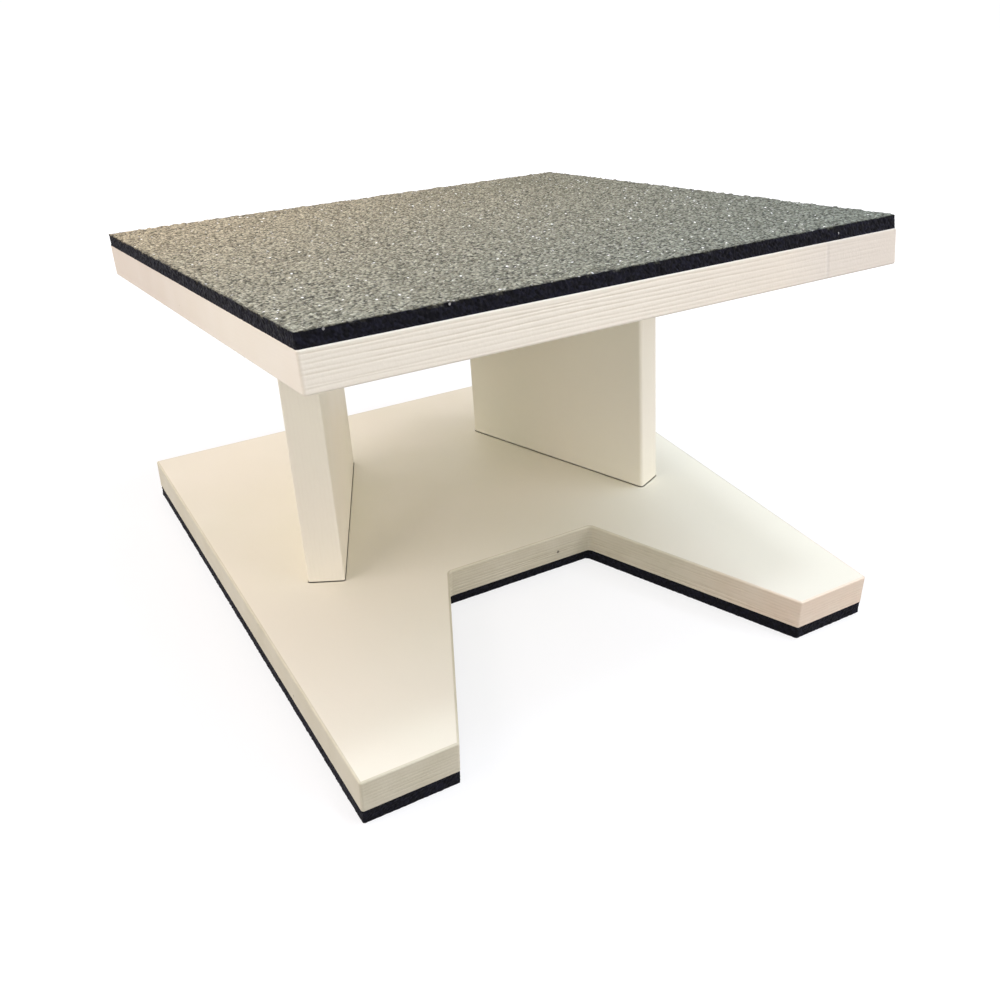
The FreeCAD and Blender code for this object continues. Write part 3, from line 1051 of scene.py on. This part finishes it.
class STAND_OT_fasteners(bpy.types.Operator):
    """Finish the packed screws and dowels"""

    bl_idname = "stand.fasteners"
    bl_label = "Fasteners"

    def execute(self, context):
        fasteners = context.scene.stand_fasteners
        finishes = {"_screw_": zinc_material(fasteners), "_dowel_": beech_material(fasteners)}
        for name, node in frame["nodes"].items():
            for kind, material in finishes.items():
                if kind in name:
                    node.material_slots[0].material = material
        return {"FINISHED"}


class STAND_OT_stage(bpy.types.Operator):
    """Set up the camera, the lights and the pale floor"""

    bl_idname = "stand.stage"
    bl_label = "Stage"

    def execute(self, context):
        stage = context.scene.stand_stage
        context.scene.view_settings.view_transform = "Standard"
        make_camera(context.scene, stage)
        make_lamps(context.scene, stage)
        make_room(context.scene)
        make_floor(context.scene, stage)
        return {"FINISHED"}


class VIEW3D_PT_stand(bpy.types.Panel):
    """Buttons for the stand's pieces, and their settings"""

    bl_label = "Desk Stand"
    bl_space_type = "VIEW_3D"
    bl_region_type = "UI"
    bl_category = "Stand"

    def draw(self, context):
        for operator in OPERATORS:
            self.layout.operator(operator.bl_idname)
        for name, group in SETTINGS.items():
            box = self.layout.box()
            box.label(text=group.__doc__)
            for setting in group.__annotations__:
                box.prop(getattr(context.scene, name), setting)


# Stage

def make_camera(scene, stage):
    """Camera at the photograph's angle."""
    camera = bpy.data.objects.new("camera", bpy.data.cameras.new("camera"))
    camera.location = stage.camera_place
    camera.rotation_euler = stage.camera_turn
    camera.data.lens = stage.lens
    camera.data.shift_x, camera.data.shift_y = stage.shift
    camera.data.clip_start = 0.01
    scene.collection.objects.link(camera)
    scene.camera = camera


def make_lamps(scene, stage):
    """Large soft lamps round the stand, all facing it."""
    tints = {"front": stage.neutral_lamp} | dict.fromkeys(COOL_LAMPS, stage.cool_lamp)
    for (name, (bearing, height, distance, side)), watts in zip(LAMPS.items(), stage.lamp_watts):
        lamp = bpy.data.lights.new(name, "AREA")
        lamp.size = side
        lamp.energy = watts
        lamp.color = tints.get(name, stage.warm_lamp)
        turn, rise = math.radians(bearing), math.radians(height)
        way = Vector((math.sin(turn) * math.cos(rise), -math.cos(turn) * math.cos(rise), math.sin(rise)))
        holder = bpy.data.objects.new(name, lamp)
        holder.location = way * distance
        holder.rotation_euler = (-way).to_track_quat("-Z", "Y").to_euler()
        scene.collection.objects.link(holder)


def make_room(scene):
    """White where the room itself is seen, and no light from it on the stand."""
    scene.world = bpy.data.worlds.new("room")
    shader = Shader(scene.world)
    white = shader.nodes["Background"].inputs
    shader.put(white["Color"], (1.0, 1.0, 1.0, 1.0))
    shader.put(white["Strength"], shader.seen_directly())


def make_floor(scene, stage):
    """Plain floor just under the stand, paled for the eye so that it is white and keeps the shadow."""
    half = stage.floor_size / 2
    mesh = bpy.data.meshes.new("floor")
    corners = rectangle((-half, -half), (half, half), CAD_BOX[0][2] - FLOOR_DROP)
    mesh.from_pydata(corners, [], [(0, 1, 2, 3)])
    shader = Shader(bpy.data.materials.new("plain_floor"))
    grain = shader.range(shader.noise(3, 2), 0.0, 1.0, 0.97, 1.0)
    tint = shader.mix(1.0, stage.floor_colour, grain, "MULTIPLY")
    matt = shader.add("BsdfDiffuse", [("Color", tint)])
    lift = shader.range(shader.distance((0, 0, 0)), *FLOOR_FADE, *stage.floor_lift)
    glow = shader.add("Emission", [("Strength", shader.times(shader.seen_directly(), lift))])
    both = shader.add("AddShader", [(0, matt.outputs["BSDF"]), (1, glow.outputs["Emission"])])
    shader.put(shader.nodes["Material Output"].inputs["Surface"], both.outputs["Shader"])
    shader.nodes.remove(shader.nodes["Principled BSDF"])
    mesh.materials.append(shader.owner)
    floor = bpy.data.objects.new("floor", mesh)
    scene.collection.objects.link(floor)


SETTINGS = {
    "stand_boards": BoardSettings,
    "stand_mats": MatSettings,
    "stand_fasteners": FastenerSettings,
    "stand_stage": StageSettings,
}
OPERATORS = (STAND_OT_plates, STAND_OT_uprights, STAND_OT_mats, STAND_OT_fasteners, STAND_OT_stage)


def register():
    """Register the settings, the operators and the panel."""
    for name, group in SETTINGS.items():
        bpy.utils.register_class(group)
        setattr(bpy.types.Scene, name, PointerProperty(type=group))
    for entry in (*OPERATORS, VIEW3D_PT_stand):
        bpy.utils.register_class(entry)


def unregister():
    """Undo register, in the opposite order."""
    for entry in reversed((*OPERATORS, VIEW3D_PT_stand)):
        bpy.utils.unregister_class(entry)
    for name, group in reversed(SETTINGS.items()):
        delattr(bpy.types.Scene, name)
        bpy.utils.unregister_class(group)


def main():
    """Make every piece and the stage."""
    register()
    bpy.ops.stand.plates()
    bpy.ops.stand.uprights()
    bpy.ops.stand.mats()
    bpy.ops.stand.fasteners()
    bpy.ops.stand.stage()


if __name__ == "__main__":
    main()
